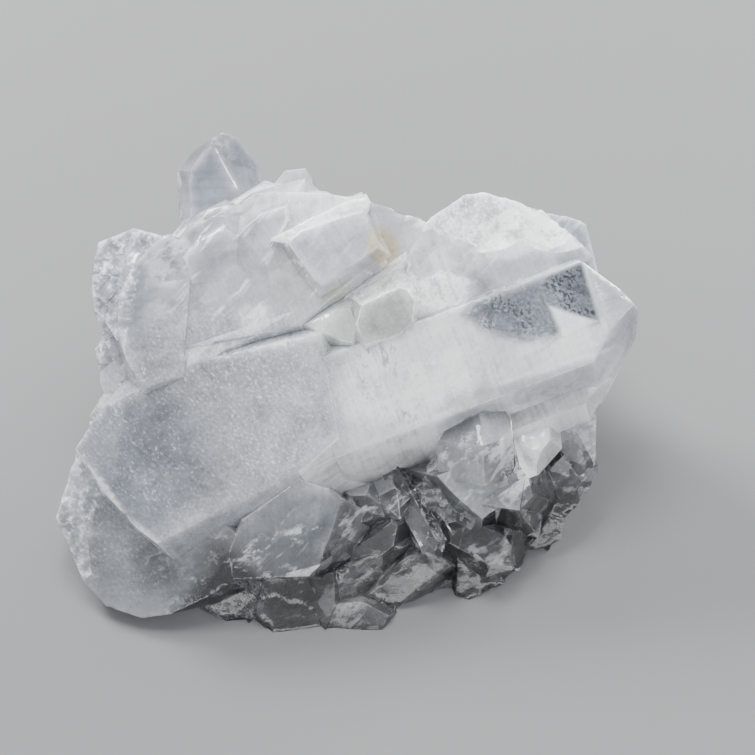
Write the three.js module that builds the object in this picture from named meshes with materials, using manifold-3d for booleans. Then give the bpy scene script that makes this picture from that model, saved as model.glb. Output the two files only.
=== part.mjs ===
// A quartz cluster: stout hexagonal crystals grown together on one broken root, about 130 mm across.
//
// Everything is in millimetres. The visible crystals are placed in the slope frame, which is the frame of
// the largest crystal's broad face: u along the table, v up the slope, w straight out of the face. LEAN
// tips that frame back, so that the cluster sits on its flat root at z = 0 with +Z up.
import * as THREE from "three";
import { mergeVertices } from "three/addons/utils/BufferGeometryUtils.js";
import Module from "manifold-3d";

const wasm = await Module();
wasm.setup();

const LEAN = 55; // degrees that the broad face's normal stands above the table
const REST_HEIGHT = 32; // height of the slope frame's origin above the table
const RHOMB = 38.2; // degrees from a prism face's normal to the normal of the tip face above it
const BIG = 400; // edge of the blank that planes cut a crystal from

const rad = THREE.MathUtils.degToRad;
const vec = (x, y, z) => new THREE.Vector3(x, y, z);

// A three.js geometry as a manifold-3d solid.
function solid(geometry) {
  const bare = geometry.clone();
  bare.deleteAttribute("normal");
  bare.deleteAttribute("uv");
  const merged = mergeVertices(bare, 1e-4);
  return new wasm.Manifold(
    new wasm.Mesh({
      numProp: 3,
      vertProperties: merged.attributes.position.array,
      triVerts: new Uint32Array(merged.index.array),
    }),
  );
}

const blank = solid(new THREE.BoxGeometry(BIG, BIG, BIG));

// The convex solid inside planes given as [outward normal, distance from the origin].
function cutFrom(planes) {
  return planes.reduce(
    (left, [n, d]) => left.trimByPlane([-n.x, -n.y, -n.z], -d),
    blank,
  );
}

// The outward normals of the six prism faces round the X axis, face 0 towards +Z.
const sideNormals = [0, 60, 120, 180, 240, 300].map((a) =>
  vec(0, Math.sin(rad(a)), Math.cos(rad(a))),
);

// A crystal in its own frame, its axis along +X and its tip near the origin.
// sides: distance of each prism face from the axis; tips: how far each tip face stands off the origin,
// measured along the axis, or lead, where only the first one stands off it; length: from the origin back
// to the root end; chips: planes that break the tip, each a direction and a distance from the origin.
function crystalSolid({ sides, lead = 0, tips = [lead, 0, 0, 0, 0, 0], length, chips = [] }) {
  const planes = [[vec(-1, 0, 0), length]];
  chips.forEach(([x, y, z, d]) => planes.push([vec(x, y, z).normalize(), d]));
  sideNormals.forEach((n, i) => {
    planes.push([n, sides[i]]);
    const up = n.clone().multiplyScalar(Math.cos(rad(RHOMB)));
    up.x = Math.sin(rad(RHOMB));
    planes.push([up, tips[i] * up.x]);
  });
  return cutFrom(planes);
}

// The matrix that puts a crystal in the slope frame. turn: degrees of its axis from +u towards +v;
// rise: degrees of its axis out of the slope; roll: degrees about its own axis.
function place({ at, turn, rise = 0, roll = 0 }) {
  const axis = vec(
    Math.cos(rad(rise)) * Math.cos(rad(turn)),
    Math.cos(rad(rise)) * Math.sin(rad(turn)),
    Math.sin(rad(rise)),
  );
  const face = vec(0, 0, 1).addScaledVector(axis, -axis.z).normalize();
  face.applyAxisAngle(axis, rad(roll));
  const side = face.clone().cross(axis);
  return new THREE.Matrix4()
    .makeBasis(axis, side, face)
    .setPosition(at[0], at[1], at[2]);
}

// Six distances for a prism of that width across its side corners and that thickness between its broad
// faces, which are towards +Z and -Z.
function flat(width, thick) {
  const d = (width / 2) * Math.cos(rad(30));
  return [thick / 2, d, d, thick / 2, d, d];
}

// A block: one plane face at the front with that convex outline, counter-clockwise in u and v, and a side
// that falls away from each edge of it. front: w at the middle of the outline; tilt: how much w grows per
// millimetre of u and of v; fall: degrees from w to a side's normal, for all edges but those whose first
// point gives its own as a third number; depth: front to back.
function blockSolid({ outline, front, tilt = [0, 0], fall = 65, depth = 25 }) {
  const mid = outline.reduce((s, p) => [s[0] + p[0] / outline.length, s[1] + p[1] / outline.length], [0, 0]);
  const normal = vec(-tilt[0], -tilt[1], 1).normalize();
  const lift = ([u, v]) => vec(u, v, front + tilt[0] * (u - mid[0]) + tilt[1] * (v - mid[1]));
  const planes = [
    [normal, normal.dot(lift(mid))],
    [normal.clone().negate(), depth - normal.dot(lift(mid))],
  ];
  outline.forEach((p, i) => {
    const a = lift(p);
    const b = lift(outline[(i + 1) % outline.length]);
    const edge = b.clone().sub(a).normalize();
    const angle = rad(p[2] ?? fall);
    const n = vec(edge.y, -edge.x, 0).setLength(Math.sin(angle)).setZ(Math.cos(angle));
    n.addScaledVector(edge, -n.dot(edge)).normalize();
    planes.push([n, n.dot(a)]);
  });
  return cutFrom(planes);
}

// Whole crystals in the slope frame.
const crystals = [
  // The main crystal, its broad face towards +w.
  {
    at: [56.5, 18.5, -3], turn: 20.5, sides: flat(41, 34), tips: [12.7, 13, 6, 9, 8, 8], length: 74,
    chips: [[0.93, 0.37, 0.1, -0.9], [0.78, 0.63, -0.15, -3], [0.9, -0.42, 0.12, 1.8]],
  },
  // The one that stands up at the top left.
  {
    at: [-35.6, 55.2, -12], turn: 92, rise: 6, roll: -10, sides: flat(20.4, 17), length: 42,
    tips: [15, 3, 3, 0, 3.5, 2.5],
    chips: [[0.89, 0.45, 0.05, -0.45], [0.91, -0.42, 0.05, 0.42], [0.42, -0.84, 0.35, 2.2]],
  },
  // Clear one in front of the main crystal.
  {
    at: [21.2, -6, 8.5], turn: 93, rise: 20, roll: 32, sides: [7.3, 6.5, 8.7, 7, 7, 7.8], length: 16,
    tips: [2.8, 1.8, 4.1, 3, 3, 6.7],
  },
  // Small side crystal of the main one.
  { at: [52.5, 1, 0], turn: 20.5, roll: -6, sides: flat(16, 12), tips: [0, -2, -2, 0, 0, 0], length: 36 },
  // Bright wedge.
  { at: [35, -22, 3], turn: -88, rise: 22, roll: 0, sides: flat(12, 10), lead: 2, length: 25 },
  // Beside the bright wedge.
  { at: [31.5, -19, 1], turn: -100, rise: 26, roll: 20, sides: flat(8, 7), length: 18 },
  // Lower right, over the dark ones, its end broken off flat.
  {
    at: [33.6, -42.1, -1.5], turn: -28, rise: 6, sides: flat(13.6, 11.5), length: 28,
    chips: [[0.88, 0.47, 0.08, -3.4], [0.6, -0.75, 0.3, 1.2]],
  },
  // Behind the lower right one.
  { at: [31.5, -43.5, -6], turn: -70, rise: 5, roll: 0, sides: flat(14, 12), lead: 3, length: 30 },
  // Blade.
  { at: [14, -40.5, 5], turn: -62, rise: 15, roll: 15, sides: flat(7, 5), lead: 8, length: 25 },
  // Beside the blade.
  { at: [19, -38, 2], turn: -58, rise: 22, roll: 35, sides: flat(7, 6), lead: 3, length: 25 },
  // Round-ended.
  { at: [5, -31, 6.5], turn: -70, rise: 55, roll: 10, sides: flat(9, 8.5), length: 20 },
  // Dark tip at the right.
  {
    at: [46.5, -25, -6], turn: -76, rise: 8, roll: 15,
    sides: flat(9, 8), tips: [3, 1, 1, 1, 1, 1], length: 30,
  },
  // Under the tip at the right.
  { at: [43, -29.5, -8], turn: -60, rise: 16, roll: 0, sides: flat(12, 10), lead: 2, length: 25 },
  // Lowest at the right.
  { at: [38.5, -39.5, -12], turn: -72, rise: 10, roll: 25, sides: flat(11, 9), lead: 3, length: 25 },
];

// Faces of larger, broken or half-hidden crystals, as blocks in the slope frame.
const blocks = [
  // Broad root of the main crystal.
  {
    front: 12.5, tilt: [0.07, 0], depth: 18,
    outline: [
      [-12.5, 9.5], [-38.5, 3.5], [-50.5, -2], [-60, -6.5, 95], [-65.5, -15.5, 80], [-59, -25.5, 80],
      [-52.5, -32.5, 80], [-44, -39, 35], [-27.5, -30, 50], [-17, -20.5, 50], [-8, -16],
    ],
  },
  // Lower left root.
  {
    front: 4.5, tilt: [0.2, 0.15],
    outline: [
      [-66, -16, 95], [-71, -31, 95], [-65, -45, 95], [-60, -50.5, 95], [-52, -53, 95], [-45.5, -52],
      [-31, -45], [-30, -35], [-42, -24],
    ],
  },
  // Upper left crystal.
  {
    front: 12.9, tilt: [0.01, -0.06], fall: 80, depth: 16,
    outline: [
      [-50.5, -2.5, 62], [-42.5, 0.5, 62], [-42, 6, 30], [-38.5, 17, 30], [-36, 26, 100], [-46, 31.5, 100],
      [-52.5, 25], [-56, 17], [-56, 9], [-54.5, 4, 70],
    ],
  },
  // Plateau.
  {
    front: 12.2, tilt: [0.01, -0.04], fall: 62, depth: 15,
    outline: [
      [-42, 6.5], [-28.5, 9], [-17, 11.5], [-8, 19], [-0.5, 25.5], [1.5, 28.5, 92], [-1, 38, 100],
      [-10.5, 40, 100], [-25, 40.5, 100], [-41.5, 32, 100], [-46, 25.5, 100], [-46, 12.5],
    ],
  },
  // Parts of the plateau: upper left, beside the tabular crystal, along its lower edge, and its top.
  {
    front: 12.6, tilt: [-0.07, 0.07], fall: 50, depth: 8,
    outline: [
      [-40, 20.5], [-32.5, 21.5], [-30.5, 25], [-30.5, 30.5], [-33.5, 32], [-38.5, 29.5], [-41.5, 26],
    ],
  },
  {
    front: 12.3, tilt: [0.09, 0.04], fall: 55, depth: 8,
    outline: [[-29.5, 20], [-25, 25], [-23, 28.5], [-19.5, 33], [-20, 37], [-25, 35.5], [-30.5, 31]],
  },
  {
    front: 12.3, tilt: [0.025, -0.055], fall: 50, depth: 8,
    outline: [
      [-42, 6.5], [-31.5, 9.4], [-25, 11], [-19, 13.5], [-17, 17.5], [-25, 23.3], [-31, 20.7],
      [-37, 19.8], [-44.5, 12.5],
    ],
  },
  {
    front: 11.9, tilt: [0.03, -0.16], fall: 60, depth: 8,
    outline: [
      [-34, 32.5], [-25, 35], [-17, 35], [-11, 38, 100], [-25, 39, 100], [-37, 36.5, 100], [-41.5, 28],
    ],
  },
  // Shelf under the plateau.
  {
    front: 12, tilt: [0.04, -0.08], fall: 60, depth: 15,
    outline: [[-41.5, 1.5], [-38.5, 3], [-15.5, 11], [-17, 12.5], [-29, 11], [-41, 8]],
  },
  // Left lumps.
  {
    front: 8, tilt: [0.12, 0], fall: 98, depth: 18,
    outline: [
      [-45, 28], [-47, 31], [-53, 32.5], [-61, 29.5], [-62.5, 23.5], [-62, 14], [-60, 10.5], [-56.5, 8, 80],
      [-49.5, 17, 60],
    ],
  },
  // Left lumps, lower.
  {
    front: 9, tilt: [0.3, -0.25], fall: 85, depth: 18,
    outline: [[-47, 27], [-52, 27], [-58, 21], [-59.5, 12], [-56.5, 8], [-52, 12]],
  },
  // Left recess.
  {
    front: 4.5, tilt: [0.1, 0.05], fall: 95,
    outline: [[-50, 6], [-57, 9.5], [-61, 7], [-61, -1], [-59.5, -5], [-51, -4]],
  },
  // Hollow behind the tabular crystal.
  {
    front: 6.5, tilt: [-0.08, -0.18], fall: 92,
    outline: [[-17, 11.5], [5, 15], [13, 25], [11, 34.5], [5, 36.5], [-1, 39], [-10.5, 26]],
  },
  // Bright strip in the hollow.
  {
    front: 9, tilt: [-0.3, 0.2], fall: 62, depth: 15,
    outline: [[-16, 11.5], [-9.5, 14], [-1.5, 18], [7.5, 20], [7.5, 25.5], [4, 27.5], [-7, 17.5]],
  },
  // Tabular crystal.
  {
    front: 15.6, tilt: [0.05, -0.07], fall: 62, depth: 6,
    outline: [
      [-19, 27.5], [-15.5, 23.5], [-12.5, 19], [-9, 21.5], [-4, 24.5],
      [0, 27.5], [0, 29.5, 75], [-3, 36, 55],
      [-8, 34.5, 55], [-16.5, 31.5, 55], [-19, 29.5],
    ],
  },
  // Edge of the tabular crystal.
  {
    front: 13.6, tilt: [0.04, -0.1], fall: 75, depth: 5,
    outline: [
      [-19, 29], [-3, 34], [-1.5, 38, 95], [-2.5, 40, 95], [-4, 39.5, 80], [-8, 37.5, 75], [-21, 32.5],
      [-22.5, 31.5], [-23, 29.5],
    ],
  },
  // Greenish crystal, right face.
  {
    front: 15.4, tilt: [-0.08, 0.05], fall: 62, depth: 18,
    outline: [[-2.5, 7], [5, 9.5], [7.5, 12], [8, 16.5], [6.5, 19], [5, 19.5], [-3.5, 15.5], [-4.5, 11.5]],
  },
  // Greenish crystal, left face.
  {
    front: 14, tilt: [0.22, -0.05], fall: 62, depth: 16,
    outline: [[-13, 10], [-8, 8], [-2.5, 7], [-4.5, 11.5], [-3.5, 15.5], [-9, 14.5], [-15.5, 11.5]],
  },
  // Upper right crystal.
  {
    front: 11.5, tilt: [0.03, -0.1], fall: 60, depth: 17,
    outline: [
      [7.5, 11.5], [44, 24.5, 94], [47, 26, 94], [40, 33.5, 100], [36, 37, 100], [22.5, 40.5, 100],
      [18.5, 40, 100], [14.5, 37, 96], [10.5, 33.5, 92], [7, 27.5, 75],
    ],
  },
  // Slab behind the upper right crystal.
  {
    front: 4, tilt: [-0.15, 0], fall: 100, depth: 15,
    outline: [
      [49.5, 20], [47.5, 27.5], [46, 33.5], [44.5, 34.5], [40, 35.5], [35, 36.5], [35, 24], [44, 16],
    ],
  },
  // Nub on the rim.
  {
    front: -3, fall: 102, depth: 12,
    outline: [[-13, 42], [-16, 46.5], [-20.5, 46], [-23, 43], [-23, 36], [-13, 36]],
  },
  // Rim behind the plateau.
  {
    front: 5, tilt: [0, -0.5], fall: 102, depth: 12,
    outline: [[-1, 36], [-11, 41], [-25, 43.5], [-40, 34], [-40, 26], [-1, 26]],
  },
  // Flawed clear block.
  {
    front: 9.5, tilt: [-0.05, 0.2], fall: 75, depth: 22,
    outline: [
      [-17, -22.2, 75], [-29.4, -31.2], [-32.2, -38], [-31.5, -44, 80], [-15, -43.4, 62], [-12.5, -41, 48],
      [-10, -33.5, 48], [-7.5, -26.3, 88], [-10.4, -24.2, 88],
    ],
  },
  // Pale block under the clear crystal.
  {
    front: 7.3, tilt: [0.05, 0.2], fall: 62, depth: 14,
    outline: [[13, -21.5], [18, -27], [23, -31], [27, -28], [29, -24.5], [28, -20.5], [20.5, -18.5]],
  },
  // Striated crystal, left and right faces.
  {
    front: 8, tilt: [0.15, -0.1], fall: 62, depth: 12,
    outline: [[31, -19], [23, -27.5], [27, -28.5], [31, -29], [32, -22.5]],
  },
  {
    front: 8, tilt: [-0.3, 0], fall: 62, depth: 14,
    outline: [[31, -19], [30, -28.5], [31, -29], [34, -26], [33, -22]],
  },
  // Dark blocks below the main crystal: a small face, a large one, a band under it and the lowest one.
  {
    front: 4.5, tilt: [0.15, 0.2], fall: 62, depth: 18,
    outline: [[-4, -32], [1.5, -30.5], [0.7, -28], [-2.3, -25.8], [-6, -26]],
  },
  {
    front: 3, tilt: [0.2, 0.3], fall: 62, depth: 20,
    outline: [
      [-12, -42.5], [-0.5, -40.5], [3.5, -37], [4.3, -32.5], [1.7, -30.8], [-3.4, -31.5], [-8.5, -40],
    ],
  },
  {
    front: 1, tilt: [-0.2, 0.45], fall: 62, depth: 20,
    outline: [[-9.5, -51], [-3.5, -50], [1.7, -43], [6.8, -39.6], [6.8, -37.5], [3.5, -36.8], [-9.5, -43]],
  },
  {
    front: 0, tilt: [0.08, 0.4], fall: 66, depth: 20,
    outline: [
      [1.5, -54], [5.5, -50.5, 95], [11.5, -49.5, 95], [17.5, -48.8, 95],
      [17.5, -43.5], [15, -40], [11.5, -38],
      [6.8, -39.5], [1.5, -43.5], [-3.5, -50],
    ],
  },
  // Broken dark mass.
  {
    front: 2, tilt: [-0.2, 0.4], fall: 62, depth: 20,
    outline: [[9.5, -25], [10, -33], [15, -36], [18, -33.5], [19.5, -29], [17, -26], [14, -24]],
  },
  // Right side, upper.
  {
    front: -4, tilt: [0.1, 0.2], fall: 85, depth: 20,
    outline: [[40, -10.5], [41, -20], [44, -24], [47, -24], [48.5, -20], [48.5, -9.5], [47, -4]],
  },
  // Right side, middle.
  {
    front: -3.5, tilt: [0.05, 0.3], fall: 72, depth: 20,
    outline: [
      [34.5, -29.5, 80], [37, -30.5, 80], [41.8, -31.5, 95],
      [45, -28.3, 95], [45.8, -25, 95], [45, -22.5, 95],
      [41.5, -17], [35, -23],
    ],
  },
  // Right side, lower.
  {
    front: -7, tilt: [0.05, 0.35], fall: 76, depth: 18,
    outline: [
      [31.5, -39.5, 95], [36.5, -38.5, 95], [41, -36.5, 95], [42, -32], [34.8, -30], [31.5, -30.5],
      [30.8, -34],
    ],
  },
  // Bottom row, left.
  {
    front: 1.2, tilt: [0.1, 0.35], fall: 70, depth: 18,
    outline: [[-41.5, -49], [-33.5, -54], [-27, -53], [-25, -49], [-25, -45], [-30, -44.5], [-36.5, -47.5]],
  },
  // Bottom row, second.
  {
    front: 1.5, tilt: [-0.12, 0.25], fall: 66, depth: 18,
    outline: [[-27, -52], [-23, -56.5], [-12, -56], [-12.5, -50], [-15.5, -44], [-25, -44]],
  },
  // Bottom row, third.
  {
    front: 1.7, tilt: [0.3, 0.2], fall: 62, depth: 18,
    outline: [[-15.5, -49.5], [-11.5, -55.5], [-9.5, -50], [-9.5, -43], [-16, -43.5]],
  },
  // Bottom row, fourth.
  {
    front: 0.5, tilt: [0.05, 0.15], fall: 68, depth: 18,
    outline: [[-12, -56.5], [1, -55.5], [2.5, -52.5], [-3.5, -49.5], [-9.5, -50]],
  },
  // Bottom row, right.
  {
    front: -3, tilt: [-0.15, 0.3], fall: 70, depth: 18,
    outline: [
      [17.5, -48.8, 90], [20.5, -49.5, 90], [28, -46, 90], [30.5, -42.5], [26.5, -41], [21, -39.5],
      [17.8, -38.5],
    ],
  },
];

// The larger crystals of the back, in the table's frame: turn from +X towards +Y, rise above the table.
const backCrystals = [
  { at: [-40, 35, 43], turn: 105, rise: 30, roll: 5, sides: flat(15, 13), lead: 1, length: 30 },
  { at: [-13, 38, 46], turn: 92, rise: 34, roll: 12, sides: flat(17, 14), lead: 2, length: 30 },
  { at: [29, 35, 42], turn: 70, rise: 28, roll: 0, sides: flat(17, 14), lead: 2, length: 30 },
  {
    at: [-30, 47, 12], turn: 100, rise: 0, roll: 25,
    sides: flat(20, 16), tips: [3, 0, 0, 0, 0, 2], length: 40,
  },
  {
    at: [-4, 50, 19], turn: 88, rise: 8, roll: 15,
    sides: flat(22, 17), tips: [3, 0, 2, 0, 0, 0], length: 40,
  },
  { at: [25, 45, 22], turn: 62, rise: 14, roll: 20, sides: flat(20, 16), lead: 3, length: 35 },
];

// Rows of smaller crystals that stand out all round the back. z: height of a row's tips; reach: half-axes
// of the oval that they lie on; rise: degrees above the table; width: of the average crystal.
const backRows = [
  { z: 7, reach: [51, 44], rise: -4, count: 11, width: 12 },
  { z: 20, reach: [53, 40], rise: 8, count: 12, width: 12 },
  { z: 32, reach: [51, 33], rise: 24, count: 11, width: 12 },
  { z: 42, reach: [44, 29], rise: 42, count: 9, width: 11 },
];
const BACK_MIDDLE = [-7, 4]; // x and y of the ovals' middle
const BACK_FROM = 8; // degrees, where the rows start round that middle
const BACK_TO = 176;
const BACK_THICKNESS = 0.85; // of their width
const BACK_LENGTH = 30;

// The root under them, as blocks in the table's frame: outlines at that height, with sloping walls.
const rootBlocks = [
  // Middle of the root.
  {
    front: 50, fall: 84, depth: 60,
    outline: [
      [-54, -22], [-41, -38], [14, -38], [28, -26], [34, -6], [30, 12], [18, 21], [-8, 24], [-34, 22],
      [-52, 10],
    ],
  },
];
const FRONT_OF_ROOT = -6; // w of the plane that the front of the root is cut to

// Broken edges: rows of small angular lumps, from one point to another in the slope frame.
const rubble = [
  { from: [-58, 27, 5], to: [-59, 12, 4], count: 6, size: 4 },
  { from: [-58, 8, 1], to: [-57.5, -4, 1], count: 6, size: 3.4 },
  { from: [-55, 8, 3], to: [-54, -3, 3], count: 5, size: 3 },
  { from: [-58, -6, 6], to: [-62, -17, 5], count: 5, size: 3.2 },
  { from: [-63, -19, 0], to: [-67, -33, -2], count: 6, size: 3.6 },
  { from: [-65, -37, -2], to: [-59, -48, -2], count: 6, size: 3.4 },
  { from: [-45, 28, 6], to: [-39, 32, 5], count: 4, size: 3.4 },
  { from: [-57, 28, 6], to: [-50, 25, 7.5], count: 5, size: 2.2 },
  { from: [15, 33, 6], to: [36, 33, 6], count: 7, size: 3 },
  { from: [0, 36, 1], to: [11, 32, 0], count: 5, size: 3 },
  { from: [-28, -52, -4], to: [0, -51, -5], count: 7, size: 3.6 },
  { from: [6, -47, -8], to: [25, -44, -9], count: 6, size: 3.6 },
  { from: [32, -35, -13], to: [42, -23, -11], count: 6, size: 4 },
  { from: [11, -27, 1], to: [18, -31, 0], count: 5, size: 3 },
];

// Shell-shaped breaks: balls of that radius, cut out of the cluster at that place in the slope frame.
const scoops = [
  { at: [22, 44, 54], radius: 45.5 },
  { at: [38, 42, 40], radius: 31.5 },
  { at: [-76, -36, 12], radius: 12 },
  { at: [-72, 32, 24], radius: 20 },
];

// Random numbers from 0 to 1, the same ones each time.
function seeded(seed) {
  let state = seed;
  return () => {
    state = (Math.imul(state, 1664525) + 1013904223) >>> 0;
    return state / 2 ** 32;
  };
}

// A small angular lump of about that radius, cut by planes in random directions.
const LUMP_FACES = 9;
const LUMP_TURN = 2.4; // radians round the lump from one face's direction to the next
const LUMP_NEAREST = 0.6; // distance of the nearest face, as a part of the radius
const LUMP_VARIES = 0.35; // how much further than that a face may stand
function lumpSolid(random, at, size) {
  const planes = [];
  for (let i = 0; i < LUMP_FACES; i++) {
    const height = 1 - (2 * (i + 0.5)) / LUMP_FACES;
    const round = (i + random() / 3) * LUMP_TURN;
    const flatness = Math.sqrt(1 - height * height);
    const n = vec(Math.cos(round) * flatness, Math.sin(round) * flatness, height);
    planes.push([n, n.dot(at) + size * (LUMP_NEAREST + LUMP_VARIES * random())]);
  }
  return cutFrom(planes);
}

const RUBBLE_WOBBLE = 0.7; // how far a lump strays from its row, as a part of the row's size
const RUBBLE_SMALLEST = 0.6; // radius of the smallest lump, as a part of the row's size
const RUBBLE_VARIES = 0.5;
function rubbleSolids({ from, to, count, size }, index) {
  const random = seeded(100 + index);
  const wobble = () => (random() - 0.5) * size * RUBBLE_WOBBLE;
  return Array.from({ length: count }, (_, i) => {
    const at = vec(...from).lerp(vec(...to), i / (count - 1)).add(vec(wobble(), wobble(), wobble()));
    return lumpSolid(random, at, size * (RUBBLE_SMALLEST + RUBBLE_VARIES * random()));
  });
}

// The crystals of one row round the back, in the table's frame. They stray from the even row by up to
// these amounts: degrees round the back, part of the reach, part of the width, height of the tip in mm, and
// degrees of turn, rise and roll.
const STRAY = { round: 4, reach: 0.05, width: 0.35, z: 3, turn: 18, rise: 12, roll: 30 };
const TIP_FROM = -1; // mm, how far a tip face stands off, at least and at most
const TIP_TO = 1.5;
function backRowCrystals({ z, reach, rise, count, width }, index) {
  const random = seeded(500 + index);
  const stray = (amount) => (random() - 0.5) * 2 * amount;
  return Array.from({ length: count }, (_, i) => {
    const round = BACK_FROM + ((BACK_TO - BACK_FROM) * (i + 0.5)) / count + stray(STRAY.round);
    const far = 1 - STRAY.reach + stray(STRAY.reach);
    const size = width * (1 + stray(STRAY.width));
    return {
      at: [
        BACK_MIDDLE[0] + reach[0] * far * Math.cos(rad(round)),
        BACK_MIDDLE[1] + reach[1] * far * Math.sin(rad(round)),
        z + stray(STRAY.z),
      ],
      turn: round + stray(STRAY.turn),
      rise: rise + stray(STRAY.rise),
      roll: stray(STRAY.roll),
      sides: flat(size, size * BACK_THICKNESS),
      tips: sideNormals.map(() => TIP_FROM + (TIP_TO - TIP_FROM) * random()),
      length: BACK_LENGTH,
    };
  });
}

const SCOOP_DETAIL = 9;
function scoopSolid({ at, radius }) {
  return solid(new THREE.IcosahedronGeometry(radius, SCOOP_DETAIL)).translate(at);
}

const join = (solids) => solids.reduce((a, b) => a.add(b));
const placed = (list) => list.map((c) => crystalSolid(c).transform(place(c).toArray()));

const stand = new THREE.Matrix4()
  .makeTranslation(0, 0, REST_HEIGHT)
  .multiply(new THREE.Matrix4().makeRotationX(rad(90 - LEAN)));

// The part of a world-frame solid behind the slope-frame plane w = distance.
function behind(manifold, distance) {
  const n = vec(0, 0, 1).transformDirection(stand);
  const d = n.dot(vec(0, 0, distance).applyMatrix4(stand));
  return manifold.trimByPlane([-n.x, -n.y, -n.z], -d);
}

const front = join([...placed(crystals), ...blocks.map(blockSolid), ...rubble.flatMap(rubbleSolids)])
  .subtract(join(scoops.map(scoopSolid)))
  .transform(stand.toArray());
const grown = join([
  front,
  behind(join(rootBlocks.map(blockSolid)), FRONT_OF_ROOT),
  ...placed([...backCrystals, ...backRows.flatMap(backRowCrystals)]),
]).trimByPlane([0, 0, 1], 0);
// Gaps that ended up closed in between the crystals are filled: only the outer skin is kept.
const whole = grown.decompose().reduce((a, b) => (b.volume() > a.volume() ? b : a));

function meshOf(manifold, name, material) {
  const { vertProperties, triVerts } = manifold.getMesh();
  const geometry = new THREE.BufferGeometry();
  geometry.setAttribute("position", new THREE.BufferAttribute(vertProperties, 3));
  geometry.setIndex(new THREE.BufferAttribute(triVerts, 1));
  const mesh = new THREE.Mesh(geometry, material);
  mesh.name = name;
  return mesh;
}

const quartz = new THREE.MeshStandardMaterial({ color: 0xdfe2e4, roughness: 0.25, metalness: 0 });
const cluster = new THREE.Group();
cluster.add(meshOf(whole, "quartz_cluster", quartz));
export default cluster;
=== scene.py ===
import math

import bmesh
import bpy
import numpy as np
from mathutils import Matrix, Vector, noise
from mathutils.geometry import delaunay_2d_cdt, tessellate_polygon


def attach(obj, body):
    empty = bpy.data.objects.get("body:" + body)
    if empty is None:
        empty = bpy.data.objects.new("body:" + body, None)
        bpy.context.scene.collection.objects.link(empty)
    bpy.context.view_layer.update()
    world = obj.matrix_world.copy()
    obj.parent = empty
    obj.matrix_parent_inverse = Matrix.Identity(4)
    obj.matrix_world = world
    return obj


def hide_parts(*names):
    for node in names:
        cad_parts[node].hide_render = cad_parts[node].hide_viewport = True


MM = 0.001
LEAN = math.radians(55)  # angle of the slope frame's w axis above the table
REST_HEIGHT = 32  # mm, height of the slope frame's origin above the table

STEP = 0.85  # mm, edge length of the fine mesh
EDGE_STEP = 0.65  # mm, the same along a sharp edge
RIM = 0.22  # mm, how far from a sharp edge its row of extra points runs
BACK_COARSE = 1.6  # faces that look down or back have a mesh coarser by this
UNDER_COARSE = 3.0  # and the flat underside by this
SHARP = math.radians(14)  # faces that meet at more than this make an edge that wears and chips
SHADED_SHARP = math.radians(24)  # and at more than this they are shaded as flat faces
WEAR_SEED = 9
THIN_EDGE = 2.6  # mm, how far in from its outline a face is paler, where light comes through the thin edge
OUT = Vector((0, -math.cos(LEAN), math.sin(LEAN)))  # the slope frame's w axis


def smoothstep(low, high, x):
    t = np.clip((x - low) / (high - low), 0, 1)
    return t * t * (3 - 2 * t)


def slope_frame(points):
    """World points in metres, an (n, 3) array, as u, v, w in millimetres."""
    x, y, z = (points / MM).T
    z = z - REST_HEIGHT
    v = math.sin(LEAN) * y + math.cos(LEAN) * z
    w = -math.cos(LEAN) * y + math.sin(LEAN) * z
    return np.stack([x, v, w], axis=1)


def noise_at(points, size, seed, octaves=3):
    """Fractal noise, about -1 to 1, at each point; size is the width of its largest bumps, in metres."""
    offset = Vector((seed * 13.7, seed * -7.3, seed * 5.1))
    return np.array([
        noise.fractal(Vector(p) / size + offset, 1.0, 2.0, octaves) for p in points
    ])


def cells_at(points, size, seed):
    """How far each point is from the nearest of a scatter of places: 0 at it, about 1 between two."""
    offset = Vector((seed * 3.7, seed * -2.3, seed * 9.1))
    return np.array([noise.voronoi(Vector(p) / size + offset)[0][0] for p in points])


def mosaic_at(uvw, size, turn, stretch):
    """Flat parts about size mm across, drawn out by stretch along turn: height at unit tilt, and own tone."""
    c = math.cos(math.radians(turn))
    s = math.sin(math.radians(turn))
    along = (uvw[:, 0] * c + uvw[:, 1] * s) / stretch
    across = uvw[:, 1] * c - uvw[:, 0] * s
    places = np.stack([along, across, uvw[:, 2]], axis=1) / size
    height = np.zeros(len(uvw))
    tone = np.zeros(len(uvw))
    for i, p in enumerate(places):
        seat = noise.voronoi(Vector(p), distance_metric="CHEBYCHEV")[1][0]
        own = noise.cell_vector(seat * 100)
        height[i] = size * (own - Vector((0.5, 0.5, 0.5))).dot(Vector(p) - seat)
        tone[i] = own.x
    return height, tone


# ---------------------------------------------------------------- the fine mesh


def flat_faces(node):
    """The CAD node's mesh with each plane face in one piece."""
    bm = bmesh.new()
    bm.from_mesh(node.data)
    bmesh.ops.remove_doubles(bm, verts=bm.verts, dist=2e-6)
    bmesh.ops.dissolve_limit(bm, angle_limit=math.radians(0.4), verts=bm.verts, edges=bm.edges)
    bm.verts.index_update()
    bm.edges.index_update()
    bm.normal_update()
    return bm


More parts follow.
